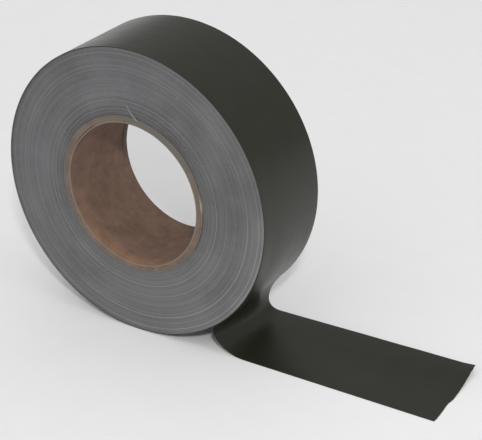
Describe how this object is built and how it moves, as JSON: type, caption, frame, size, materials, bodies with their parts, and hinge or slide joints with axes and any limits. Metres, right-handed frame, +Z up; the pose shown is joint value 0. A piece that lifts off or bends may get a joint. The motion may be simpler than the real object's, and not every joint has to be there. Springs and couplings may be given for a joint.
{
  "type": "duct tape roll",
  "caption": "Roll of cloth-backed duct tape on a spirally wound paperboard core, standing on its rim with its free end peeled off and lying flat.",
  "frame": {"origin": "centre of the core's bore, midway across the tape's width", "axes": "+Y along the roll's axis, away from the front face; +X the way the free end runs; +Z up"},
  "size_m": [0.2449, 0.0525, 0.1538],
  "materials": {
    "film": "satin",
    "scrim": "matte",
    "adhesive": "satin",
    "wound_tape": "matte",
    "core_paper": "matte",
    "liner_paper": "matte"
  },
  "bodies": {
    "outer_tape": {"outer_turn_film": "film", "outer_turn_scrim": "scrim", "outer_turn_adhesive": "adhesive", "fold_film": "film", "fold_scrim": "scrim", "fold_adhesive": "adhesive"},
    "roll": {"core_liner": "liner_paper", "core_ply_1": "core_paper", "core_ply_2": "core_paper", "core_ply_3": "core_paper", "core_ply_4": "core_paper", "core_ply_5": "core_paper", "core_face": "core_paper", "wound_turns": "wound_tape"},
    "tail_near": {"tail_1_film": "film", "tail_1_scrim": "scrim", "tail_1_adhesive": "adhesive"},
    "tail_middle": {"tail_2_film": "film", "tail_2_scrim": "scrim", "tail_2_adhesive": "adhesive"},
    "tail_end": {"tail_3_film": "film", "tail_3_scrim": "scrim", "tail_3_adhesive": "adhesive"}
  },
  "joints": [
    {"name": "unwind", "type": "hinge", "parent": "outer_tape", "child": "roll", "pos_m": [0, 0, 0], "axis": [0, 1, 0], "continuous": true},
    {"name": "tail_lift", "type": "hinge", "parent": "outer_tape", "child": "tail_near", "pos_m": [0.07, 0.002, -0.07664], "axis": [0, -1, 0], "range_deg": [0, 30]},
    {"name": "tail_bend", "type": "hinge", "parent": "tail_near", "child": "tail_middle", "pos_m": [0.103, 0.002, -0.07664], "axis": [0, -1, 0], "range_deg": [0, 35]},
    {"name": "tail_curl", "type": "hinge", "parent": "tail_middle", "child": "tail_end", "pos_m": [0.136, 0.002, -0.07664], "axis": [0, -1, 0], "range_deg": [0, 40]}
  ]
}
